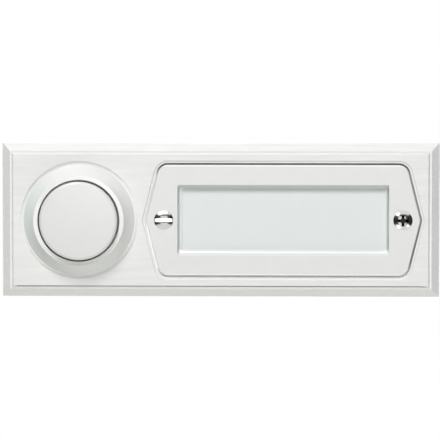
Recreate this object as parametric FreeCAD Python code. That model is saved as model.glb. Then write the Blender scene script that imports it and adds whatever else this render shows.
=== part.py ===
import FreeCAD, Part
import math
import os

V = FreeCAD.Vector

# The pieces are drawn lying on their backs: x along the plate, y up the wall, z out from the wall.
# At the end they are stood up, so that the front faces -Y and the wall is the plane y = 0.

# front plate, a hollow casting open at the back
plate_length = 130.0
plate_height = 45.8
face_level = 15.0
plate_thickness = 3.0
wall_thickness = 2.4
flank_draft_deg = 1.0
bevel_width = 2.35
bevel_height = 2.6
land_width = 0.57
step_width = 0.48
step_height = 0.65
cavity_corner_radius = 1.5
rib_thickness = 1.2
rib_height = 2.0

# push button and its collar
button_end_margin = 23.0
button_radius = 11.6
button_gap = 0.5
button_crown = 2.0
button_dome = 0.25
button_edge_round = 0.9
button_travel = 1.8
cap_thickness = 1.7
cap_skirt = 1.3
cap_flange_width = 1.0
cap_flange_thickness = 1.0
cap_boss_radius = 3.6
cap_boss_length = 4.8
cap_rib_count = 6
cap_rib_thickness = 0.9
stop_gap = 0.02
collar_rise = 3.75
collar_rim_width = 1.4
collar_rim_slope = 0.15
collar_flare_width = 3.0
collar_flare_hollow = 0.25
collar_foot_width = 0.5
collar_foot_thickness = 0.5
collar_recess_depth = 0.4
collar_recess_gap = 0.5
collar_lip = 4.4
collar_wall = 1.2
collar_edge_round = 0.15
neck_length = 5.0
neck_clearance = 0.2
flange_clearance = 0.4
nut_thickness = 2.2
nut_width = 2.95
nut_notch_count = 6
nut_notch_width = 2.4
nut_notch_depth = 1.0
thread_clearance = 0.05

# name frame let into the face, with its window
frame_to_collar = 2.9
frame_side_margin = 6.45
frame_end_margin = 5.7
frame_slope_deg = 14.1
frame_thickness = 1.5
frame_proud = 0.1
frame_corner_radius = 3.0
frame_tip_radius = 2.0
frame_edge_round = 0.25
frame_gap = 0.55
recess_ledge_width = 0.4
recess_chamfer_width = 0.35
recess_chamfer_depth = 0.3
window_end_border = 9.3
window_side_border = 5.9
window_corner_radius = 0.5
window_long_side_slope = 1.0
window_short_side_slope = 0.1

# pane, card and the tray that they lie in
pane_overlap = 0.85
pane_thickness = 0.4
pane_rebate = 0.5
pane_clearance = 0.15
pane_corner_radius = 1.2
tray_height = 3.1
tray_long_side_slope = 0.25
tray_short_side_slope = 0.6
tray_slope_depth = 0.1
tray_groove_width = 0.45
tray_groove_depth = 1.2
card_offset = 0.35
card_thickness = 0.3
card_clearance = 0.05
well_floor_thickness = 1.0
well_wall = 1.2

# countersunk screws that hold frame, plate and base together
screw_tip_inset = 5.2
screw_radius = 1.5
screw_head_radius = 2.85
screw_head_dome = 0.7
screw_head_sunk = 0.05
screw_seat_gap = 0.02
screw_hole_clearance = 0.2
screw_end_above_wall = 3.1
slot_width = 1.0
slot_mouth = 1.7
slot_depth = 1.1
cross_arm_width = 0.85
cross_length = 3.5
cross_depth = 1.5
plate_boss_radius = 3.4
insert_radius = 2.3
insert_length = 5.0

# moulded base that nests in the plate and is screwed to the wall
base_thickness = 2.0
base_clearance = 0.3
base_rim_width = 1.2
base_rim_height = 1.2
base_corner_radius = 1.2
base_boss_radius = 3.6
wall_slot_inset = 10.5
wall_slot_width = 4.2
wall_slot_length = 8.0
wall_slot_collar = 1.4
wall_slot_collar_height = 0.8
cable_to_slot = 14.4
cable_hole_radius = 5.0
grommet_bore_radius = 3.5
grommet_flange = 1.5
grommet_flange_thickness = 0.8
grommet_flange_gap = 0.25

# switch behind the button
running_clearance = 0.05
plunger_radius = 3.0
plunger_pin_radius = 2.0
plunger_pin_length = 3.8
spigot_radius = 1.6
spigot_length = 1.7
guide_wall = 1.4
guide_above = 1.0
guide_below = 1.1
deck_thickness = 1.4
deck_gap = 0.2
deck_radius = 13.5
cup_radius = 11.5
cup_wall = 1.9
bridge_length = 18.0
bridge_width = 5.0
bridge_thickness = 0.6
bridge_gap = 0.3
clip_radius = 2.8
clip_thickness = 0.5
clip_groove_depth = 0.4
contact_width = 4.0
contact_thickness = 0.8
contact_offset = 6.5
contact_clearance = 0.05
carrier_thickness = 1.0
peg_radius = 0.6
peg_length = 1.5
terminal_to_nut = 1.65
terminal_to_end = 2.6
terminal_boss_radius = 2.3
terminal_boss_height = 2.0
terminal_screw_radius = 1.45
terminal_head_radius = 2.6
terminal_head_height = 1.6
washer_side = 5.4
washer_thickness = 0.6
barrier_height = 3.0
barrier_thickness = 1.2
ear_radius = 3.5
ear_clearance = 0.45
housing_boss_radius = 3.0
housing_screw_radius = 1.25
housing_screw_depth = 4.8
housing_head_radius = 2.3
housing_head_height = 1.8
driver_slot_width = 0.7
driver_slot_depth = 0.8
spring_mean_radius = 5.6
spring_wire_radius = 0.35
spring_turns = 5.0
spring_seat_depth = 0.4

# levels above the wall
roof_level = face_level - plate_thickness
land_level = face_level - step_height
bevel_foot_level = land_level - bevel_height
flank_spread = bevel_foot_level * math.tan(math.radians(flank_draft_deg))
rim_level = face_level + collar_rise
lip_level = rim_level - collar_lip
frame_top = face_level + frame_proud
frame_floor = frame_top - frame_thickness
pane_top = frame_floor + pane_rebate
pane_floor = pane_top - pane_thickness
tray_floor = pane_floor - tray_height
card_top = pane_floor - tray_slope_depth
card_floor = card_top - card_thickness
well_under = tray_floor - well_floor_thickness
crown_level = rim_level + button_crown
ceiling_level = crown_level - button_dome - cap_thickness
flange_top = lip_level - stop_gap
flange_floor = flange_top - cap_flange_thickness
cap_boss_floor = ceiling_level - cap_boss_length
neck_floor = face_level - collar_recess_depth - neck_length
deck_top = neck_floor - deck_gap
deck_floor = deck_top - deck_thickness
guide_floor = deck_floor - guide_below
bridge_top = guide_floor - bridge_gap
bridge_floor = bridge_top - bridge_thickness
contact_top = bridge_floor - button_travel - contact_clearance
carrier_top = contact_top - contact_thickness
spigot_floor = bridge_top - spigot_length
clip_top = bridge_floor - contact_clearance
clip_floor = clip_top - clip_thickness

# sizes across the face
cavity_length = plate_length - 2 * wall_thickness
cavity_height = plate_height - 2 * wall_thickness
button_x = -plate_length / 2 + button_end_margin
collar_bore = button_radius + button_gap
collar_rim_radius = collar_bore + collar_rim_width
collar_foot_radius = collar_rim_radius + collar_flare_width + collar_foot_width
frame_left = button_x + collar_foot_radius + frame_to_collar
frame_right = plate_length / 2 - frame_end_margin
frame_length = frame_right - frame_left
frame_x = (frame_left + frame_right) / 2
card_x = frame_x + card_offset
frame_height = plate_height - 2 * frame_side_margin
window_length = frame_length - 2 * window_end_border
window_height = frame_height - 2 * window_side_border
pane_length = window_length + 2 * pane_overlap
pane_height = window_height + 2 * pane_overlap
well_length = pane_length + 2 * pane_clearance
well_height = pane_height + 2 * pane_clearance
screw_xs = [frame_left + screw_tip_inset, frame_right - screw_tip_inset]
wall_slot_xs = [screw_xs[0] + wall_slot_inset, screw_xs[1] - wall_slot_inset]
cable_x = wall_slot_xs[0] + cable_to_slot
screw_hole_radius = screw_radius + screw_hole_clearance
flange_radius = button_radius + cap_flange_width
neck_bore = flange_radius + flange_clearance
neck_radius = neck_bore + collar_wall
neck_hole_radius = neck_radius + neck_clearance
nut_radius = neck_radius + nut_width
guide_bore = plunger_radius + running_clearance
ear_reach = nut_radius + ear_clearance + housing_boss_radius
ear_step = ear_reach * math.cos(math.radians(45))
housing_screws = [(button_x - ear_step, ear_step), (button_x + ear_step, -ear_step)]
terminal_x = button_x + nut_radius + terminal_to_nut
terminal_deck_end = terminal_x + terminal_to_end


# closed wire through the points at height z, each corner rounded to its radius
def outline(points, radii, z):
    edges = []
    starts = []
    ends = []
    count = len(points)
    for i in range(count):
        here = V(points[i][0], points[i][1], z)
        back = V(points[i - 1][0], points[i - 1][1], z) - here
        ahead = V(points[(i + 1) % count][0], points[(i + 1) % count][1], z) - here
        half = back.getAngle(ahead) / 2
        back.normalize()
        ahead.normalize()
        reach = radii[i] / math.tan(half)
        starts.append(here + back * reach)
        ends.append(here + ahead * reach)
        if radii[i] > 0:
            middle = back + ahead
            middle.normalize()
            nearest = here + middle * (radii[i] / math.sin(half) - radii[i])
            edges.append(Part.Arc(starts[i], nearest, ends[i]).toShape())
        else:
            edges.append(None)
    loop = []
    for i in range(count):
        if edges[i]:
            loop.append(edges[i])
        loop.append(Part.makeLine(ends[i], starts[(i + 1) % count]))
    return Part.Wire(loop)


def rectangle(length, height, radius, z, x=0.0, y=0.0):
    half_l = length / 2
    half_h = height / 2
    corners = [
        (x - half_l, y - half_h),
        (x + half_l, y - half_h),
        (x + half_l, y + half_h),
        (x - half_l, y + half_h),
    ]
    return outline(corners, [radius] * 4, z)


# outline of the name frame, six-sided with pointed ends, grown outwards on every side
def frame_outline(grow, z):
    slope = math.radians(frame_slope_deg)
    half_h = frame_height / 2 + grow
    tip = frame_length / 2 + grow / math.cos(slope)
    shoulder = tip - half_h * math.tan(slope)
    corners = [
        (frame_x - shoulder, -half_h),
        (frame_x + shoulder, -half_h),
        (frame_x + tip, 0),
        (frame_x + shoulder, half_h),
        (frame_x - shoulder, half_h),
        (frame_x - tip, 0),
    ]
    corner = frame_corner_radius + grow
    point = frame_tip_radius + grow
    return outline(corners, [corner, corner, point, corner, corner, point], z)


def slab(wire, thickness):
    return Part.Face(wire).extrude(V(0, 0, thickness))


def taper(low, high):
    return Part.makeLoft([low, high], True, True)


def disc(radius, low, high, x=0.0, y=0.0):
    return Part.makeCylinder(radius, high - low, V(x, y, low))


def ring(outer, inner, low, high, x=0.0, y=0.0):
    return disc(outer, low, high, x, y).cut(disc(inner, low, high, x, y))


def box(x0, x1, y0, y1, z0, z1):
    return Part.makeBox(x1 - x0, y1 - y0, z1 - z0, V(x0, y0, z0))


# solid turned from edges in the plane y = 0, about an upright axis at x, y
def turned(edges, x=0.0, y=0.0):
    solid = Part.Face(Part.Wire(edges)).revolve(V(0, 0, 0), V(0, 0, 1), 360)
    solid.translate(V(x, y, 0))
    return solid


def polyline(points):
    spots = [V(r, 0, z) for r, z in points]
    return [Part.makeLine(spots[i], spots[i + 1]) for i in range(len(spots) - 1)]


def arc(first, middle, last):
    return Part.Arc(V(first[0], 0, first[1]), V(middle[0], 0, middle[1]), V(last[0], 0, last[1])).toShape()


def front_plate():
    spread = 2 * flank_spread
    top_length = plate_length - 2 * bevel_width
    top_height = plate_height - 2 * bevel_width
    step_length = top_length - 2 * land_width
    step_across = top_height - 2 * land_width
    body = taper(
        rectangle(plate_length + spread, plate_height + spread, 0, 0),
        rectangle(plate_length, plate_height, 0, bevel_foot_level),
    )
    bevel = taper(
        rectangle(plate_length, plate_height, 0, bevel_foot_level),
        rectangle(top_length, top_height, 0, land_level),
    )
    panel = taper(
        rectangle(step_length, step_across, 0, land_level),
        rectangle(step_length - 2 * step_width, step_across - 2 * step_width, 0, face_level),
    )
    hollow = taper(
        rectangle(cavity_length + spread, cavity_height + spread, cavity_corner_radius, 0),
        rectangle(cavity_length, cavity_height, cavity_corner_radius, roof_level),
    )
    plate = body.fuse([bevel, panel]).cut(hollow)
    well_out_l = well_length + 2 * well_wall
    well_out_h = well_height + 2 * well_wall
    well_block = rectangle(well_out_l, well_out_h, pane_corner_radius, well_under, frame_x)
    inside = [slab(well_block, roof_level - well_under)]
    inside += [disc(plate_boss_radius, well_under, roof_level, x) for x in screw_xs]
    inside += [disc(housing_boss_radius, deck_top, roof_level, x, y) for x, y in housing_screws]
    for share in (-0.25, 0.25):
        x = frame_x + share * well_out_l
        for side in (-1, 1):
            near = well_out_h / 2 - 0.1
            far = cavity_height / 2 + 0.1
            low, high = sorted((side * near, side * far))
            half = rib_thickness / 2
            inside.append(box(x - half, x + half, low, high, roof_level - rib_height, roof_level))
    plate = plate.fuse(inside)
    above = frame_thickness + 1
    ledge = frame_gap + recess_ledge_width
    lead_in = taper(
        frame_outline(ledge, face_level - recess_chamfer_depth),
        frame_outline(ledge + recess_chamfer_width, face_level),
    )
    well = rectangle(well_length, well_height, pane_corner_radius, tray_floor, frame_x)
    recess_radius = collar_foot_radius + collar_recess_gap
    cuts = [
        slab(frame_outline(frame_gap, frame_floor), above),
        lead_in,
        slab(well, face_level - tray_floor),
        disc(neck_hole_radius, roof_level - 1, face_level + 1, button_x),
        disc(recess_radius, face_level - collar_recess_depth, face_level + 1, button_x),
    ]
    cuts += [disc(screw_hole_radius, well_under - 1, face_level, x) for x in screw_xs]
    drill_top = deck_floor + housing_screw_depth + 0.4
    drill_radius = housing_screw_radius + thread_clearance
    cuts += [disc(drill_radius, deck_top - 1, drill_top, x, y) for x, y in housing_screws]
    return plate.cut(cuts).removeSplitter()


def button_collar():
    edge = collar_edge_round
    foot_level = face_level - collar_recess_depth
    foot_top = foot_level + collar_foot_thickness
    rim_outer_level = rim_level - collar_rim_slope
    flare_top = (collar_rim_radius, rim_outer_level - edge)
    flare_end = (collar_foot_radius - collar_foot_width, foot_top)
    run = V(flare_end[0] - flare_top[0], 0, flare_end[1] - flare_top[1])
    inward = V(run.z, 0, -run.x)
    inward.normalize()
    middle = V((flare_top[0] + flare_end[0]) / 2, 0, (flare_top[1] + flare_end[1]) / 2)
    hollow = middle + inward * collar_flare_hollow
    profile = polyline([
        flare_end,
        (collar_foot_radius, foot_top),
        (collar_foot_radius, foot_level),
        (neck_radius, foot_level),
        (neck_radius, neck_floor),
        (neck_bore, neck_floor),
        (neck_bore, lip_level),
        (collar_bore, lip_level),
        (collar_bore, rim_level - edge),
        (collar_bore + edge, rim_level),
        (collar_rim_radius - edge, rim_outer_level),
        flare_top,
    ])
    profile.append(arc(flare_top, (hollow.x, hollow.z), flare_end))
    return turned(profile, button_x)


def collar_nut():
    low = roof_level - nut_thickness
    nut = ring(nut_radius, neck_radius + thread_clearance, low, roof_level, button_x)
    half = nut_notch_width / 2
    notches = []
    for i in range(nut_notch_count):
        notch = box(nut_radius - nut_notch_depth, nut_radius + 1, -half, half, low, roof_level)
        notch.rotate(V(0, 0, 0), V(0, 0, 1), (i + 0.5) * 360 / nut_notch_count)
        notch.translate(V(button_x, 0, 0))
        notches.append(notch)
    return nut.cut(notches)


def button_cap():
    inner = button_radius - cap_skirt
    shoulder = button_radius - button_edge_round
    edge_level = crown_level - button_dome
    turn = button_edge_round * math.sin(math.radians(45))
    profile = [
        arc((0, crown_level), (shoulder / 2, crown_level - button_dome / 4), (shoulder, edge_level)),
        arc(
            (shoulder, edge_level),
            (shoulder + turn, edge_level - button_edge_round + turn),
            (button_radius, edge_level - button_edge_round),
        ),
    ]
    profile += polyline([
        (button_radius, edge_level - button_edge_round),
        (button_radius, flange_top),
        (flange_radius, flange_top),
        (flange_radius, flange_floor),
        (inner, flange_floor),
        (inner, ceiling_level),
        (0, ceiling_level),
        (0, crown_level),
    ])
    cap = turned(profile, button_x)
    extras = [disc(cap_boss_radius, cap_boss_floor, ceiling_level, button_x)]
    near = spring_mean_radius + spring_wire_radius + 0.5
    half = cap_rib_thickness / 2
    for i in range(cap_rib_count):
        rib = box(near, inner + 0.1, -half, half, flange_floor, ceiling_level)
        rib.rotate(V(0, 0, 0), V(0, 0, 1), i * 360 / cap_rib_count)
        rib.translate(V(button_x, 0, 0))
        extras.append(rib)
    socket_radius = plunger_pin_radius + thread_clearance
    socket = disc(socket_radius, cap_boss_floor, cap_boss_floor + plunger_pin_length + 0.2, button_x)
    return cap.fuse(extras).cut(socket).removeSplitter()


def button_plunger():
    lead = 0.3
    groove = spigot_radius - clip_groove_depth
    pin_top = cap_boss_floor + plunger_pin_length
    return turned(polyline([
        (0, spigot_floor),
        (spigot_radius - lead, spigot_floor),
        (spigot_radius, spigot_floor + lead),
        (spigot_radius, clip_floor),
        (groove, clip_floor),
        (groove, clip_top),
        (spigot_radius, clip_top),
        (spigot_radius, bridge_top),
        (plunger_radius, bridge_top),
        (plunger_radius, cap_boss_floor),
        (plunger_pin_radius, cap_boss_floor),
        (plunger_pin_radius, pin_top - lead),
        (plunger_pin_radius - lead, pin_top),
        (0, pin_top),
        (0, spigot_floor),
    ]), button_x)


# helix of round wire, its two ends ground flat on the seats
def return_spring():
    low = deck_top - spring_seat_depth
    height = ceiling_level - low
    path = Part.makeHelix(height / spring_turns, height, spring_mean_radius)
    wire = Part.Wire(Part.makeCircle(spring_wire_radius, V(spring_mean_radius, 0, 0), V(0, 1, 0)))
    coil = Part.Wire(path).makePipeShell([wire], True, True)
    reach = spring_mean_radius + 2 * spring_wire_radius
    coil = coil.common(disc(reach, 0, height))
    coil.translate(V(button_x, 0, low))
    return coil


def contact_bridge():
    bar = rectangle(bridge_width, bridge_length, bridge_width / 3, bridge_floor, button_x)
    hole = disc(spigot_radius + running_clearance, bridge_floor, bridge_top, button_x)
    return slab(bar, bridge_thickness).cut(hole)


def bridge_clip():
    bore = spigot_radius - clip_groove_depth + running_clearance
    clip = ring(clip_radius, bore, clip_floor, clip_top, button_x)
    return clip.cut(box(button_x, button_x + clip_radius, -bore * 0.8, bore * 0.8, clip_floor, clip_top))


def switch_housing():
    wall_low = carrier_top
    inner = cup_radius - cup_wall
    body = disc(deck_radius, deck_floor, deck_top, button_x)
    adds = [
        ring(cup_radius, inner, wall_low, deck_floor, button_x),
        disc(guide_bore + guide_wall, guide_floor, deck_top + guide_above, button_x),
    ]
    side = contact_offset + contact_width / 2 + 0.9
    end = terminal_deck_end
    adds.append(box(button_x + deck_radius / 2, end, -side, side, deck_floor, deck_top))
    half = barrier_thickness / 2
    near = button_x + cup_radius - 0.3
    adds.append(box(near, end, -half, half, deck_floor - barrier_height, deck_floor))
    for x, y in housing_screws:
        adds.append(disc(ear_radius, deck_floor, deck_top, x, y))
        arm = box(0, ear_reach, -ear_radius, ear_radius, deck_floor, deck_top)
        arm.rotate(V(0, 0, 0), V(0, 0, 1), math.degrees(math.atan2(y, x - button_x)))
        arm.translate(V(button_x, 0, 0))
        adds.append(arm)
    for y in (-contact_offset, contact_offset):
        adds.append(disc(terminal_boss_radius, deck_top, deck_top + terminal_boss_height, terminal_x, y))
    housing = body.fuse(adds)
    seat_in = spring_mean_radius - spring_wire_radius - 0.25
    seat_out = spring_mean_radius + spring_wire_radius + 0.25
    cuts = [
        disc(guide_bore, guide_floor - 1, deck_top + guide_above + 1, button_x),
        ring(seat_out, seat_in, deck_top - spring_seat_depth, deck_top, button_x),
    ]
    half = contact_width / 2 + contact_clearance
    for y in (-contact_offset, contact_offset):
        notch_top = contact_top + contact_clearance
        cuts.append(box(button_x, button_x + cup_radius + 1, y - half, y + half, wall_low, notch_top))
        thread = terminal_screw_radius + thread_clearance
        cuts.append(disc(thread, deck_floor - 1, deck_top + terminal_boss_height + 1, terminal_x, y))
    for x, y in housing_screws:
        cuts.append(disc(housing_screw_radius + thread_clearance, deck_floor - 1, deck_top + 1, x, y))
    for x in (button_x - inner - cup_wall / 2, button_x + inner + cup_wall / 2):
        cuts.append(disc(peg_radius + running_clearance, wall_low, wall_low + peg_length + 0.2, x))
    return housing.cut(cuts).removeSplitter()


def contact_carrier():
    low = carrier_top - carrier_thickness
    carrier = disc(cup_radius, low, carrier_top, button_x)
    reach = cup_radius - cup_wall / 2
    peg_xs = (button_x - reach, button_x + reach)
    pegs = [disc(peg_radius, carrier_top, carrier_top + peg_length, x) for x in peg_xs]
    hole = disc(spigot_radius + 0.6, low, carrier_top, button_x)
    return carrier.fuse(pegs).cut(hole)


# strip folded twice: it lies under the bridge, climbs the cup's wall and ends under its terminal
def fixed_contact(y):
    near = button_x - bridge_width / 2 + 0.5
    riser = button_x + cup_radius + contact_thickness + 0.2
    end = terminal_deck_end - 0.3
    t = contact_thickness
    corners = [
        (near, carrier_top),
        (riser, carrier_top),
        (riser, deck_floor - t),
        (end, deck_floor - t),
        (end, deck_floor),
        (riser - t, deck_floor),
        (riser - t, carrier_top + t),
        (near, carrier_top + t),
        (near, carrier_top),
    ]
    strip = Part.Face(Part.Wire(polyline(corners))).extrude(V(0, contact_width, 0))
    strip.translate(V(0, y - contact_width / 2, 0))
    hole = disc(terminal_screw_radius + 0.15, deck_floor - t, deck_floor, terminal_x, y)
    return strip.cut(hole)


def terminal_washer(y):
    low = deck_floor - contact_thickness - washer_thickness
    washer = slab(rectangle(washer_side, washer_side, 0.6, low, terminal_x, y), washer_thickness)
    return washer.cut(disc(terminal_screw_radius + 0.15, low, low + washer_thickness, terminal_x, y))


# pan-headed screw with a driver slot, its head towards the wall
def pan_screw(x, y, head_level, head_radius, head_height, radius, length):
    crown = head_level - head_height
    edge = head_height * 0.6
    tip = head_level + length
    bulge = (head_radius * 0.6, crown + head_height * 0.12)
    profile = [arc((0, crown), bulge, (head_radius, head_level - edge))]
    profile += polyline([
        (head_radius, head_level - edge),
        (head_radius, head_level),
        (radius, head_level),
        (radius, tip - 0.4),
        (radius - 0.4, tip),
        (0, tip),
        (0, crown),
    ])
    screw = turned(profile, x, y)
    half = driver_slot_width / 2
    reach = head_radius + 1
    slot = box(x - reach, x + reach, y - half, y + half, crown - 1, crown + driver_slot_depth)
    return screw.cut(slot)


def terminal_screw(y):
    head_level = deck_floor - contact_thickness - washer_thickness
    length = deck_top + terminal_boss_height - 0.4 - head_level
    return pan_screw(
        terminal_x, y, head_level, terminal_head_radius, terminal_head_height, terminal_screw_radius, length
    )


def housing_screw(x, y):
    return pan_screw(
        x, y, deck_floor, housing_head_radius, housing_head_height, housing_screw_radius, housing_screw_depth
    )


def name_frame():
    round_r = frame_edge_round
    low = slab(frame_outline(0, frame_floor), frame_thickness)
    top_edges = [e for e in low.Edges if e.BoundBox.ZMin > frame_top - 0.01]
    frame = low.makeFillet(round_r, top_edges)
    long_end = window_length - 2 * window_short_side_slope
    short_end = window_height - 2 * window_long_side_slope
    window = taper(
        rectangle(long_end, short_end, window_corner_radius, pane_top, frame_x),
        rectangle(window_length, window_height, window_corner_radius, frame_top, frame_x),
    )
    rebate = rectangle(well_length, well_height, pane_corner_radius, frame_floor, frame_x)
    cuts = [window, slab(rebate, pane_rebate)]
    for x in screw_xs:
        mouth = screw_head_radius + screw_head_sunk + screw_seat_gap
        sink = mouth - screw_hole_radius
        cuts.append(Part.makeCone(screw_hole_radius, mouth, sink, V(x, 0, frame_top - sink)))
        cuts.append(disc(screw_hole_radius, frame_floor, frame_top, x))
    return frame.cut(cuts)


def window_pane():
    return slab(rectangle(pane_length, pane_height, pane_corner_radius, pane_floor, frame_x), pane_thickness)


# opening of the tray at the pane, share 0, or at the foot of its slopes, share 1
def tray_opening(share):
    end = window_short_side_slope + tray_groove_width + share * tray_short_side_slope
    side = window_long_side_slope + share * tray_long_side_slope
    return window_length - 2 * end, window_height - 2 * side


def card_tray():
    tray = slab(rectangle(pane_length, pane_height, pane_corner_radius, tray_floor, frame_x), tray_height)
    top_length, top_height = tray_opening(0)
    low_length, low_height = tray_opening(1)
    sloped = taper(
        rectangle(low_length, low_height, window_corner_radius, card_top, card_x),
        rectangle(top_length, top_height, window_corner_radius, pane_floor, frame_x),
    )
    bed = slab(rectangle(low_length, low_height, window_corner_radius, card_floor, card_x), card_thickness)
    cuts = [sloped, bed]
    half_h = top_height / 2
    groove_floor = pane_floor - tray_groove_depth
    for side in (-1, 1):
        near = frame_x + side * (top_length / 2 - 0.02)
        far = frame_x + side * (top_length / 2 + tray_groove_width)
        cuts.append(box(min(near, far), max(near, far), -half_h, half_h, groove_floor, pane_floor))
    return tray.cut(cuts)


def name_card():
    length, height = tray_opening(1)
    slack = 2 * card_clearance
    card = rectangle(length - slack, height - slack, window_corner_radius, card_floor, card_x)
    return slab(card, card_thickness)


def frame_screw(x):
    sink = screw_head_radius - screw_radius
    edge = frame_top - screw_head_sunk
    crown = edge + screw_head_dome
    bulge = (screw_head_radius / 2, edge + screw_head_dome * 0.76)
    profile = [arc((0, crown), bulge, (screw_head_radius, edge))]
    profile += polyline([
        (screw_head_radius, edge),
        (screw_radius, edge - sink),
        (screw_radius, screw_end_above_wall + 0.5),
        (screw_radius - 0.5, screw_end_above_wall),
        (0, screw_end_above_wall),
        (0, crown),
    ])
    return turned(profile, x)


def slotted_screw(x):
    crown = frame_top - screw_head_sunk + screw_head_dome
    half = slot_width / 2
    wide = slot_mouth / 2
    low = crown - slot_depth
    bend = crown - slot_depth * 0.5
    mouth = crown + 0.2
    profile = [(-half, low), (half, low), (half, bend), (wide, mouth), (-wide, mouth), (-half, bend)]
    spots = [V(0, y, z) for y, z in profile + profile[:1]]
    reach = screw_head_radius + 1
    slot = Part.Face(Part.makePolygon(spots)).extrude(V(2 * reach, 0, 0))
    slot.translate(V(x - reach, 0, 0))
    return frame_screw(x).cut(slot)


def cross_screw(x):
    crown = frame_top - screw_head_sunk + screw_head_dome
    low = crown - cross_depth
    wings = []
    for turn in (0, 90):
        wing = taper(
            rectangle(cross_length * 0.45, cross_arm_width * 0.7, 0, low),
            rectangle(cross_length, cross_arm_width, 0, crown),
        )
        wing.rotate(V(0, 0, 0), V(0, 0, 1), turn)
        wing.translate(V(x, 0, 0))
        wings.append(wing)
    wings.append(Part.makeCone(0.45, cross_arm_width, cross_depth, V(x, 0, low)))
    return frame_screw(x).cut(wings)


def base_plate():
    length = cavity_length - 2 * base_clearance
    height = cavity_height - 2 * base_clearance
    plate = slab(rectangle(length, height, base_corner_radius, 0), base_thickness)
    rim_out = slab(rectangle(length, height, base_corner_radius, base_thickness), base_rim_height)
    in_length = length - 2 * base_rim_width
    in_height = height - 2 * base_rim_width
    rim_in = slab(rectangle(in_length, in_height, base_corner_radius / 2, base_thickness), base_rim_height)
    adds = [rim_out.cut(rim_in)]
    adds += [disc(base_boss_radius, base_thickness, well_under, x) for x in screw_xs]
    straight = wall_slot_length - wall_slot_width
    slots = []
    for x in wall_slot_xs:
        collar_across = wall_slot_width + 2 * wall_slot_collar
        collar = slot_outline(straight, collar_across / 2, base_thickness, x)
        adds.append(slab(collar, wall_slot_collar_height))
        slot = slot_outline(straight, wall_slot_width / 2, 0, x)
        slots.append(slab(slot, base_thickness + wall_slot_collar_height))
    seat = cable_hole_radius + grommet_flange + grommet_flange_gap
    cuts = slots + [
        disc(cable_hole_radius, 0, base_thickness, cable_x),
        disc(seat, 0, grommet_flange_thickness, cable_x),
    ]
    cuts += [disc(insert_radius, well_under - insert_length, well_under, x) for x in screw_xs]
    cuts += [disc(screw_hole_radius, base_thickness, well_under, x) for x in screw_xs]
    return plate.fuse(adds).cut(cuts).removeSplitter()


# slot with round ends, its long way across the wall
def slot_outline(straight, radius, z, x):
    left = x - straight / 2
    right = x + straight / 2
    return Part.Wire([
        Part.makeLine(V(left, -radius, z), V(right, -radius, z)),
        Part.Arc(V(right, -radius, z), V(right + radius, 0, z), V(right, radius, z)).toShape(),
        Part.makeLine(V(right, radius, z), V(left, radius, z)),
        Part.Arc(V(left, radius, z), V(left - radius, 0, z), V(left, -radius, z)).toShape(),
    ])


def thread_insert(x):
    bore = screw_radius + thread_clearance
    low = well_under - insert_length
    waist = 0.3
    return turned(polyline([
        (bore, low),
        (insert_radius - 0.3, low),
        (insert_radius, low + 0.3),
        (insert_radius, low + insert_length * 0.4),
        (insert_radius - waist, low + insert_length * 0.45),
        (insert_radius - waist, low + insert_length * 0.55),
        (insert_radius, low + insert_length * 0.6),
        (insert_radius, well_under),
        (bore, well_under),
        (bore, low),
    ]), x)


def cable_grommet():
    back = 0.1
    flange = cable_hole_radius + grommet_flange
    seat = grommet_flange_thickness
    top = base_thickness + grommet_flange_thickness
    return turned(polyline([
        (grommet_bore_radius, back),
        (flange, back),
        (flange, seat),
        (cable_hole_radius, seat),
        (cable_hole_radius, base_thickness),
        (flange - 0.4, base_thickness),
        (flange - 0.7, top),
        (grommet_bore_radius, top),
        (grommet_bore_radius, back),
    ]), cable_x)


pieces = {
    "front_plate": front_plate(),
    "button_collar": button_collar(),
    "collar_nut": collar_nut(),
    "button_cap": button_cap(),
    "button_plunger": button_plunger(),
    "return_spring": return_spring(),
    "contact_bridge": contact_bridge(),
    "bridge_clip": bridge_clip(),
    "switch_housing": switch_housing(),
    "contact_carrier": contact_carrier(),
    "fixed_contact_upper": fixed_contact(contact_offset),
    "fixed_contact_lower": fixed_contact(-contact_offset),
    "terminal_washer_upper": terminal_washer(contact_offset),
    "terminal_washer_lower": terminal_washer(-contact_offset),
    "terminal_screw_upper": terminal_screw(contact_offset),
    "terminal_screw_lower": terminal_screw(-contact_offset),
    "housing_screw_upper": housing_screw(*housing_screws[0]),
    "housing_screw_lower": housing_screw(*housing_screws[1]),
    "name_frame": name_frame(),
    "window_pane": window_pane(),
    "name_card": name_card(),
    "card_tray": card_tray(),
    "frame_screw_left": slotted_screw(screw_xs[0]),
    "frame_screw_right": cross_screw(screw_xs[1]),
    "base_plate": base_plate(),
    "thread_insert_left": thread_insert(screw_xs[0]),
    "thread_insert_right": thread_insert(screw_xs[1]),
    "cable_grommet": cable_grommet(),
}

os.makedirs("parts", exist_ok=True)
for name, shape in pieces.items():
    shape.rotate(V(0, 0, 0), V(1, 0, 0), 90)
    shape.exportStep("parts/" + name + ".step")
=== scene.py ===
import math
from collections import namedtuple

import bmesh
import bpy
from mathutils import Matrix, Vector


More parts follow.
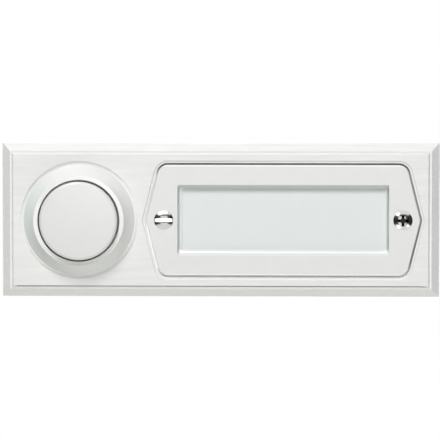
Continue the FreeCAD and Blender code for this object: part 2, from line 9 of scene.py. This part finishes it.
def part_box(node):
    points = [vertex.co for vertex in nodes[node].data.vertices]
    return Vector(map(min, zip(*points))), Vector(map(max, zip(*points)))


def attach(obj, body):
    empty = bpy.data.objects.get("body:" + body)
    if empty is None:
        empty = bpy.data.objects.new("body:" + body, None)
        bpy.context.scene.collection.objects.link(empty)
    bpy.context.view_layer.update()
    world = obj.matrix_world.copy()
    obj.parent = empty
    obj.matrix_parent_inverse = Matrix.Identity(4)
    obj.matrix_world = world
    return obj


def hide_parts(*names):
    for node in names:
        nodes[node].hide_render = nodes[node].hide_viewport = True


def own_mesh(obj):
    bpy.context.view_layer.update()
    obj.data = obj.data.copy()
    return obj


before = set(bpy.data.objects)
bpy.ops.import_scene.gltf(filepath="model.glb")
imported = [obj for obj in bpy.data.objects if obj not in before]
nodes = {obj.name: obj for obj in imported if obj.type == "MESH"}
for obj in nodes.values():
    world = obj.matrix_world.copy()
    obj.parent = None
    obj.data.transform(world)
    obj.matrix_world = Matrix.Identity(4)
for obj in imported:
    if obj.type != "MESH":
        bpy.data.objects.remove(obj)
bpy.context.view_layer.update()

MM = 0.001
white = (1.0, 1.0, 1.0, 1.0)

# region of a surface that takes another colour: its colour out of 255, and in millimetres its middle x
# and z, its half sizes along x and z, the levels in front of the wall between which it sets in, whether
# it is round, the heights z between which it sets in, and the share of its size over which it fades
Region = namedtuple(
    "Region", "colour middle reach levels is_round heights softness", defaults=(False, None, 0.02))

# front plate: painted light in the gap round the name frame on the left, painted shade in it on the right
# and at the top, painted shade on the lower bevel, painted light on the land below the raised panel, and a
# painted shadow line at the panel's lower foot
gap_left_light = Region((252, 252, 250), (-22.0, 0.0), (3.5, 14.6), (14.6, 14.5))
gap_right_shade = Region((145, 147, 147), (57.6, 0.0), (4.2, 17.0), (14.6, 14.5), False, (-16.5, -12.5))
gap_top_shade = Region((100, 102, 102), (18.6, 15.6), (39.3, 2.4), (14.6, 14.5), False, (13.2, 16.0))
bevel_shade = Region((228, 230, 225), (0.0, -22.0), (66.0, 1.5), (14.3, 14.2))
land_light = Region((252, 252, 250), (0.0, -20.17), (62.0, 0.28), (14.5, 14.4))
foot_shade = Region((118, 120, 118), (0.0, -19.65), (61.4, 0.18), (15.0, 14.95))

# name frame: painted shade on the wall over the window, painted light and shade on the slope under it, and
# painted highlights along the long outer edges
wall_shade = Region((208, 209, 207), (18.6, 10.2), (31.5, 0.8), (15.1, 14.95))
slope_light = Region((248, 250, 249), (18.6, -9.6), (31.5, 0.17), (14.9, 14.8))
slope_shade = Region((222, 223, 221), (18.6, -10.15), (31.5, 0.38), (15.08, 15.05))
edge_top_highlight = Region((244, 244, 243), (18.6, 16.2), (36.5, 0.25), (15.3, 15.2))
edge_bottom_highlight = Region((244, 244, 243), (18.6, -16.2), (36.5, 0.22), (15.3, 15.2))

# button collar: painted greenish shade on the left flare and painted shade on the lower flare, painted
# light on the rim's top and a painted highlight on its left side, painted shadow on the rim's lower part,
# and painted shade in the bore
collar_middle = (-42.0, 0.0)
flare_left_shade = Region((226, 232, 228), (-60.0, 0.0), (15.0, 15.0), (18.4, 18.3), True, softness=0.6)
flare_shade = Region((224, 227, 221), collar_middle, (18.0, 18.0), (18.6, 18.5), True, (-3.0, -12.0))
rim_top_light = Region((238, 238, 236), collar_middle, (13.45, 13.45), (18.4, 18.5), True)
rim_light = Region((248, 248, 247), (-57.0, 0.0), (10.0, 10.0), (18.4, 18.5), True, softness=0.8)
rim_shade = Region((217, 217, 213), collar_middle, (13.45, 13.45), (18.4, 18.5), True, (-10.0, -13.0))
bore_shade = Region((70, 72, 72), collar_middle, (12.2, 12.2), (18.9, 18.3), True)

# name card and its tray: painted shadow on the card's upper part, painted light along the lower edges of
# both
card_shade = Region((206, 210, 209), (19.0, 0.0), (40.0, 20.0), (14.0, 13.9), False, (7.7, 8.9))
card_edge_light = Region((252, 254, 253), (19.0, -9.1), (40.0, 0.35), (14.0, 13.9))
tray_edge_light = Region((252, 252, 252), (19.0, -9.6), (40.0, 0.75), (14.0, 13.9))

# painted shade in the cross recess of the right frame screw
cross_shade = Region((60, 54, 48), (54.1, 0.0), (1.9, 1.9), (15.6, 15.2), True)

# grain of each kind of finish, in cells to a metre, with a stretch along x, y and z
lacquer_grain = 100.0
moulding_grain = 1500.0
metal_grain = 900.0
paper_grain = 700.0
haze_grain = 300.0
plain = (1, 1, 1)
upright = (1, 1, 2)
turned = (1, 1, 4)
streaky = (0.9, 9.0, 9.0)
even = (5.0, 5.0, 5.0)

# share by which a finish darkens from place to place
moulding_depth = 0.03
metal_depth = 0.06
paper_depth = 0.04

# how far a finish's roughness drifts down and up from its middle
lacquer_drift = (0.06, 0.06)
moulding_drift = (0.05, 0.05)
metal_drift = (0.03, 0.05)
haze_drift = (0.0, 0.03)

# relief in millimetres
metal_relief = 0.004
paper_relief = 0.01

# clear pane and card
pane_tint = (0.985, 0.995, 0.992, 1.0)
pane_ior = 1.49
paper_roughness = 0.85
paper_gloss = 0.2

# return spring: wire, turns, and steps round the coil and round the wire
wire_radius = 0.35
coil_turns = 5
coil_steps = 40
wire_steps = 12
wire_rings = coil_turns * coil_steps

# camera, in millimetres in the part's frame, found from the photo's edges
camera_place = Vector((22.2, -1000.0, 63.3))
camera_target = Vector((-0.15, -15.0, 0.1))
camera_roll = 0.0006
focal_px = 3326.0
photo_px = 440
sensor_mm = 36.0
far_clip = 100.0

# floor, well below the object, with the share of white that is seen in its place, and the wall right
# behind the object
floor_level = -1300.0
floor_size = 18000.0
floor_white = 0.9
wall_place = (0.0, 6.0, 0.0)
wall_size = 900.0
stage_colour = (235, 235, 235)
flag_colour = (20, 20, 20)
stage_roughness = 0.9

# soft glow on the wall under the object: place, width, height and strength
glow_place = (0.0, 5.0, -190.0)
glow_width = 600.0
glow_height = 320.0
glow_strength = 0.6

# lamps: place and size in millimetres, strength in watts
lamps = {
    "key": ((-225.0, -560.0, 800.0), 280.0, 6.15),
    "front": ((90.0, -1500.0, 350.0), 700.0, 10.25),
    "under": ((260.0, -400.0, -800.0), 600.0, 2.7),
    "back": ((-300.0, 1300.0, 200.0), 700.0, 8.5),
}
world_light = 0.06

# small lamps that light one screw alone, which the large lamps spare: the screw, place, width, height,
# roll and strength
screws = ("frame_screw_left", "frame_screw_right")
screw_lamps = {
    "crescent": (screws[0], (-135.0, -784.0, 629.0), 900.0, 300.0, 0.24, 1.6),
    "glint": (screws[0], (-56.0, -1000.0, -63.0), 180.0, 180.0, 0.0, 0.19),
    "spot_upper": (screws[1], (-363.0, -682.0, 436.0), 360.0, 360.0, 0.0, 0.64),
    "spot_left": (screws[1], (-252.0, -671.0, -535.0), 270.0, 270.0, 0.0, 0.36),
    "spot_right": (screws[1], (416.0, -573.0, -346.0), 220.0, 220.0, 0.0, 0.24),
}

# black cards beside and above the object: place, width and height in millimetres
side_flags = {
    "flag_left": ((-560.0, -420.0, 0.0), 900.0, 700.0),
    "flag_right": ((560.0, -420.0, 0.0), 900.0, 700.0),
}
mirror_flags = {
    "flag_upper": ((0.0, -900.0, 460.0), 900.0, 200.0),
}


def linear(value):
    return value / 12.92 if value <= 0.04045 else ((value + 0.055) / 1.055) ** 2.4


def tone(red, green, blue):
    return (linear(red / 255), linear(green / 255), linear(blue / 255), 1.0)


def add_object(name, data):
    thing = bpy.data.objects.new(name, data)
    bpy.context.collection.objects.link(thing)
    return thing


# place and aim of a camera or lamp, rolled about its line of sight
def aimed(place, target, roll):
    turn = (target - place).to_track_quat("-Z", "Y").to_matrix().to_4x4()
    return Matrix.Translation(place * MM) @ turn @ Matrix.Rotation(roll, 4, "Z")


def new_material(name):
    material = bpy.data.materials.new(name)
    material.use_nodes = True
    return material, material.node_tree, material.node_tree.nodes["Principled BSDF"]


# gives a socket its value, or links it to another node's output
def feed(tree, value, socket):
    if isinstance(value, bpy.types.NodeSocket):
        tree.links.new(value, socket)
    else:
        socket.default_value = value


def math_node(tree, operation, *values):
    node = tree.nodes.new("ShaderNodeMath")
    node.operation = operation
    for value, socket in zip(values, node.inputs):
        feed(tree, value, socket)
    return node.outputs["Value"]


# share that climbs from 0 to 1 between two values
def ramp(tree, value, low, high):
    slope = tree.nodes.new("ShaderNodeMapRange")
    slope.inputs["From Min"].default_value = low
    slope.inputs["From Max"].default_value = high
    tree.links.new(value, slope.inputs["Value"])
    return slope.outputs["Result"]


def noise(tree, scale, stretch=plain, detail=3.0):
    place = tree.nodes.new("ShaderNodeTexCoord")
    mapping = tree.nodes.new("ShaderNodeMapping")
    mapping.inputs["Scale"].default_value = stretch
    tree.links.new(place.outputs["Object"], mapping.inputs["Vector"])
    grain = tree.nodes.new("ShaderNodeTexNoise")
    grain.inputs["Scale"].default_value = scale
    grain.inputs["Detail"].default_value = detail
    tree.links.new(mapping.outputs["Vector"], grain.inputs["Vector"])
    return grain.outputs["Fac"]


# roughness that drifts with the grain
def roughen(tree, shader, grain, roughness, drift):
    stretch = tree.nodes.new("ShaderNodeMapRange")
    stretch.inputs["To Min"].default_value = roughness - drift[0]
    stretch.inputs["To Max"].default_value = roughness + drift[1]
    tree.links.new(grain, stretch.inputs["Value"])
    tree.links.new(stretch.outputs["Result"], shader.inputs["Roughness"])


# relief of the grain, its height in millimetres
def bump(tree, shader, grain, height, strength=0.5):
    relief = tree.nodes.new("ShaderNodeBump")
    relief.inputs["Distance"].default_value = height * MM
    relief.inputs["Strength"].default_value = strength
    tree.links.new(grain, relief.inputs["Height"])
    tree.links.new(relief.outputs["Normal"], shader.inputs["Normal"])


# surface colour that goes from the first to the second by a share
def blend_colour(tree, shader, share, first, second):
    blend = tree.nodes.new("ShaderNodeMix")
    blend.data_type = "RGBA"
    tree.links.new(share, blend.inputs["Factor"])
    feed(tree, first, blend.inputs["A"])
    feed(tree, second, blend.inputs["B"])
    tree.links.new(blend.outputs["Result"], shader.inputs["Base Color"])


# colour that darkens a little from place to place
def mottle(tree, shader, grain, colour, depth):
    darker = tuple(channel * (1 - depth) for channel in colour[:3]) + (1.0,)
    blend_colour(tree, shader, grain, colour, darker)


# way from a region's middle along one axis, as a share of its half size
def away_share(tree, place, middle, half):
    offset = math_node(tree, "SUBTRACT", place, middle * MM)
    return math_node(tree, "ABSOLUTE", math_node(tree, "DIVIDE", offset, half * MM))


# 0 at a region's middle and 1 at its edge
def away_from_middle(tree, place, region):
    across = away_share(tree, place["X"], region.middle[0], region.reach[0])
    upward = away_share(tree, place["Z"], region.middle[1], region.reach[1])
    if not region.is_round:
        return math_node(tree, "MAXIMUM", across, upward)
    squares = [math_node(tree, "POWER", share, 2.0) for share in (across, upward)]
    return math_node(tree, "ADD", *squares)


# paints one region's light or shade over a material's colour
def shade_region(material, region):
    tree = material.node_tree
    shader = tree.nodes["Principled BSDF"]
    split = tree.nodes.new("ShaderNodeSeparateXYZ")
    tree.links.new(tree.nodes.new("ShaderNodeTexCoord").outputs["Object"], split.inputs["Vector"])
    place = split.outputs
    starts, full = (-level * MM for level in region.levels)
    mask = ramp(tree, away_from_middle(tree, place, region), 1.0, 1.0 - region.softness)
    mask = math_node(tree, "MULTIPLY", mask, ramp(tree, place["Y"], starts, full))
    if region.heights:
        starts, full = (height * MM for height in region.heights)
        mask = math_node(tree, "MULTIPLY", mask, ramp(tree, place["Z"], starts, full))
    outer = shader.inputs["Base Color"].links[0].from_socket
    blend_colour(tree, shader, mask, outer, tone(*region.colour))


# paints the light and shade of the regions into a material's colour, a later one over an earlier one
def shade(material, *regions):
    for region in regions:
        shade_region(material, region)


# lacquer with streaks or cloudy grain, their depth in colour and their height in millimetres
def lacquer(name, colour, roughness, stretch, depth, height):
    material, tree, shader = new_material(name)
    streaks = noise(tree, lacquer_grain, stretch)
    mottle(tree, shader, streaks, colour, depth)
    bump(tree, shader, streaks, height, strength=1.0)
    roughen(tree, shader, streaks, roughness, lacquer_drift)
    return material


def moulded(name, colour, roughness, grain_height):
    material, tree, shader = new_material(name)
    grain = noise(tree, moulding_grain)
    mottle(tree, shader, grain, colour, moulding_depth)
    bump(tree, shader, grain, grain_height)
    roughen(tree, shader, grain, roughness, moulding_drift)
    return material


def metal(name, colour, roughness, stretch=plain):
    material, tree, shader = new_material(name)
    shader.inputs["Metallic"].default_value = 1.0
    grain = noise(tree, metal_grain, stretch)
    mottle(tree, shader, grain, colour, metal_depth)
    bump(tree, shader, grain, metal_relief, strength=0.3)
    roughen(tree, shader, grain, roughness, metal_drift)
    return material


def paper(name, colour):
    material, tree, shader = new_material(name)
    fibres = noise(tree, paper_grain, upright, detail=5.0)
    mottle(tree, shader, fibres, colour, paper_depth)
    bump(tree, shader, fibres, paper_relief)
    shader.inputs["Roughness"].default_value = paper_roughness
    shader.inputs["Specular IOR Level"].default_value = paper_gloss
    return material


# shows the second shader by a share and the first by the rest
def swap_shader(tree, share, first, second, output):
    swap = tree.nodes.new("ShaderNodeMixShader")
    tree.links.new(share, swap.inputs["Fac"])
    tree.links.new(first.outputs[0], swap.inputs[1])
    tree.links.new(second.outputs[0], swap.inputs[2])
    tree.links.new(swap.outputs["Shader"], output.inputs["Surface"])


# clear sheet, plain to shadow and bounced rays, so that the lamps light what lies behind it once
def clear(name):
    material, tree, shader = new_material(name)
    shader.inputs["Base Color"].default_value = pane_tint
    shader.inputs["Transmission Weight"].default_value = 1.0
    shader.inputs["IOR"].default_value = pane_ior
    roughen(tree, shader, noise(tree, haze_grain), 0.0, haze_drift)
    through = tree.nodes.new("ShaderNodeBsdfTransparent")
    through.inputs["Color"].default_value = pane_tint
    ray = tree.nodes.new("ShaderNodeLightPath").outputs
    unseen = math_node(tree, "MAXIMUM", ray["Is Shadow Ray"], ray["Is Diffuse Ray"])
    swap_shader(tree, unseen, shader, through, tree.nodes["Material Output"])
    return material


def dress(material, *names):
    for name in names:
        for held in nodes[name].material_slots:
            held.material = material


def dress_plate():
    plate = lacquer("plate_lacquer", tone(239, 239, 237), 0.42, streaky, depth=0.13, height=0.06)
    shade(plate, gap_left_light, gap_right_shade, gap_top_shade, bevel_shade, land_light, foot_shade)
    dress(plate, "front_plate")


def dress_name_frame():
    coat = lacquer("frame_lacquer", tone(229, 229, 227), 0.38, even, depth=0.04, height=0.004)
    shade(coat, wall_shade, slope_light, slope_shade, edge_top_highlight, edge_bottom_highlight)
    dress(coat, "name_frame")


def dress_button():
    collar = lacquer("collar_lacquer", tone(233, 233, 231), 0.34, even, depth=0.02, height=0.004)
    shade(collar, flare_left_shade, flare_shade, rim_top_light, rim_light, rim_shade, bore_shade)
    dress(collar, "button_collar")
    cap = lacquer("button_enamel", tone(229, 229, 227), 0.32, even, depth=0.035, height=0.004)
    dress(cap, "button_cap")


def dress_mouldings():
    tray = moulded("white_moulding", tone(216, 220, 219), 0.45, 0.01)
    shade(tray, tray_edge_light)
    dress(tray, "card_tray", "button_plunger")
    dress(moulded("black_moulding", tone(38, 38, 40), 0.5, 0.02), "switch_housing", "contact_carrier")
    dress(moulded("grey_moulding", tone(120, 122, 124), 0.55, 0.03), "base_plate")
    dress(moulded("black_rubber", tone(32, 32, 32), 0.75, 0.03), "cable_grommet")


def dress_window():
    card = paper("blank_card", tone(234, 236, 235))
    shade(card, card_shade, card_edge_light)
    dress(card, "name_card")
    dress(clear("clear_pane"), "window_pane")


def dress_frame_screws():
    dress(metal("bright_plating", tone(222, 221, 217), 0.16), "frame_screw_left")
    recessed = metal("recessed_plating", tone(222, 221, 217), 0.16)
    shade(recessed, cross_shade)
    dress(recessed, "frame_screw_right")


def dress_metal_parts():
    steel = metal("zinc_plating", tone(186, 187, 190), 0.3)
    dress(steel, "housing_screw_upper", "housing_screw_lower")
    dress(steel, "terminal_screw_upper", "terminal_screw_lower")
    dress(steel, "terminal_washer_upper", "terminal_washer_lower")
    wire = metal("spring_wire", tone(170, 172, 176), 0.28)
    dress(wire, "bridge_clip")
    make_spring(wire)
    brass = metal("turned_brass", tone(205, 172, 100), 0.28, turned)
    dress(brass, "collar_nut", "contact_bridge", "fixed_contact_upper", "fixed_contact_lower")
    dress(brass, "thread_insert_left", "thread_insert_right")


# corners of the spring's wire, ring by ring, its ends ground flat within the given box
def spring_corners(low, high):
    wire = wire_radius * MM
    middle = (low + high) / 2
    coil_radius = (high.x - low.x) / 2 - wire
    corners = []
    for ring in range(wire_rings + 1):
        turn = 2 * math.pi * ring / coil_steps
        centre = high.y - (high.y - low.y) * ring / wire_rings
        for corner in range(wire_steps):
            angle = 2 * math.pi * corner / wire_steps
            radius = coil_radius + wire * math.cos(angle)
            depth = min(max(centre + wire * math.sin(angle), low.y), high.y)
            corners.append((middle.x + radius * math.cos(turn), depth, middle.z + radius * math.sin(turn)))
    return corners


# faces of the wire: one over each end, and a band from each ring to the next
def spring_faces():
    last = wire_rings * wire_steps
    faces = [tuple(range(wire_steps)), tuple(range(last, last + wire_steps))]
    for ring in range(wire_rings):
        for corner in range(wire_steps):
            first = ring * wire_steps + corner
            second = ring * wire_steps + (corner + 1) % wire_steps
            faces.append((first, second, second + wire_steps, first + wire_steps))
    return faces


def spring_mesh(low, high):
    mesh = bpy.data.meshes.new("coil_spring")
    mesh.from_pydata(spring_corners(low, high), [], spring_faces())
    shell = bmesh.new()
    shell.from_mesh(mesh)
    bmesh.ops.recalc_face_normals(shell, faces=shell.faces)
    shell.to_mesh(mesh)
    shell.free()
    for face in mesh.polygons:
        face.use_smooth = len(face.vertices) == 4
    return mesh


# coil spring in place of its plain solid
def make_spring(material):
    low, high = (Vector(corner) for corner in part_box("return_spring"))
    mesh = spring_mesh(low, high)
    mesh.materials.append(material)
    spring = add_object("coil_spring", mesh)
    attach(spring, "housing")
    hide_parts("return_spring")
    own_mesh(spring)


# white, by the given share, to the camera, to mirrors and through glass, itself to everything else
def white_surround(tree, shader, output, share, kind):
    ray = tree.nodes.new("ShaderNodeLightPath").outputs
    seen = math_node(tree, "MAXIMUM", ray["Is Camera Ray"], ray["Is Glossy Ray"])
    seen = math_node(tree, "MAXIMUM", seen, ray["Is Transmission Ray"])
    light = tree.nodes.new(kind)
    light.inputs["Color"].default_value = white
    light.inputs["Strength"].default_value = 1.0
    swap_shader(tree, math_node(tree, "MULTIPLY", seen, share), shader, light, output)


def make_world():
    world = bpy.data.worlds.new("surround")
    world.use_nodes = True
    tree = world.node_tree
    ambient = tree.nodes["Background"]
    ambient.inputs["Color"].default_value = white
    ambient.inputs["Strength"].default_value = world_light
    white_surround(tree, ambient, tree.nodes["World Output"], 1.0, "ShaderNodeBackground")
    bpy.context.scene.world = world


def matt(name, colour):
    material, _, shader = new_material(name)
    shader.inputs["Base Color"].default_value = tone(*colour)
    shader.inputs["Roughness"].default_value = stage_roughness
    return material


def glowing(name, strength):
    material, _, shader = new_material(name)
    shader.inputs["Emission Color"].default_value = white
    shader.inputs["Emission Strength"].default_value = strength
    return material


# flat sheet of the stage, its middle at the place and its front towards the given direction
def sheet(name, place, width, height, facing, material):
    x, y = width * MM / 2, height * MM / 2
    mesh = bpy.data.meshes.new(name)
    mesh.from_pydata([(-x, -y, 0), (x, -y, 0), (x, y, 0), (-x, y, 0)], [], [(0, 1, 2, 3)])
    mesh.materials.append(material)
    thing = add_object(name, mesh)
    thing.location = Vector(place) * MM
    thing.rotation_euler = Vector(facing).to_track_quat("Z", "Y").to_euler()
    return thing


def make_floor():
    material = matt("pale_floor", stage_colour)
    tree = material.node_tree
    shader, output = tree.nodes["Principled BSDF"], tree.nodes["Material Output"]
    white_surround(tree, shader, output, floor_white, "ShaderNodeEmission")
    sheet("floor", (0.0, 0.0, floor_level), floor_size, floor_size, (0.0, 0.0, 1.0), material)


# wall and glow are only there for bounced light, the camera sees white in their place
def make_wall():
    ahead = (0.0, -1.0, 0.0)
    wall = sheet("wall", wall_place, wall_size, wall_size, ahead, matt("white_wall", stage_colour))
    bright = glowing("wall_glow", glow_strength)
    glow = sheet("glow", glow_place, glow_width, glow_height, ahead, bright)
    for thing in (wall, glow):
        thing.visible_camera = False
        thing.visible_glossy = False
        thing.visible_transmission = False
        thing.visible_shadow = False


# the side flags keep the ambient light off the flanks, the mirror flag only shows in bright metal
def make_flags():
    material = matt("black_card", flag_colour)
    for name, (place, width, height) in {**side_flags, **mirror_flags}.items():
        flag = sheet(name, place, width, height, -Vector(place), material)
        flag.visible_camera = False
        flag.visible_transmission = False
        flag.visible_diffuse = name in side_flags
        flag.visible_shadow = name in side_flags


def make_camera():
    data = bpy.data.cameras.new("camera")
    data.sensor_width = sensor_mm
    data.lens = focal_px * sensor_mm / photo_px
    data.clip_end = far_clip
    camera = add_object("camera", data)
    camera.matrix_world = aimed(camera_place, camera_target, camera_roll)
    bpy.context.scene.camera = camera


# lamp that faces the object's middle
def area_lamp(name, place, width, height, roll, watts):
    data = bpy.data.lights.new(name, "AREA")
    data.shape = "RECTANGLE"
    data.size = width * MM
    data.size_y = height * MM
    data.energy = watts
    lamp = add_object(name, data)
    lamp.matrix_world = aimed(Vector(place), Vector(), roll)
    return lamp


# lets the lamp light only the named nodes, or everything but them
def link_light(lamp, names, state):
    receivers = bpy.data.collections.new("receivers_" + lamp.name)
    for name in names:
        receivers.objects.link(nodes[name])
    for held in receivers.collection_objects:
        held.light_linking.link_state = state
    lamp.light_linking.receiver_collection = receivers


def make_lamps():
    for name, (place, size, watts) in lamps.items():
        link_light(area_lamp(name, place, size, size, 0.0, watts), screws, "EXCLUDE")
    for name, (screw, place, width, height, roll, watts) in screw_lamps.items():
        link_light(area_lamp(name, place, width, height, roll, watts), (screw,), "INCLUDE")


dress_plate()
dress_name_frame()
dress_button()
dress_mouldings()
dress_window()
dress_frame_screws()
dress_metal_parts()
make_world()
make_floor()
make_wall()
make_flags()
make_camera()
make_lamps()
bpy.context.scene.view_settings.view_transform = "Standard"
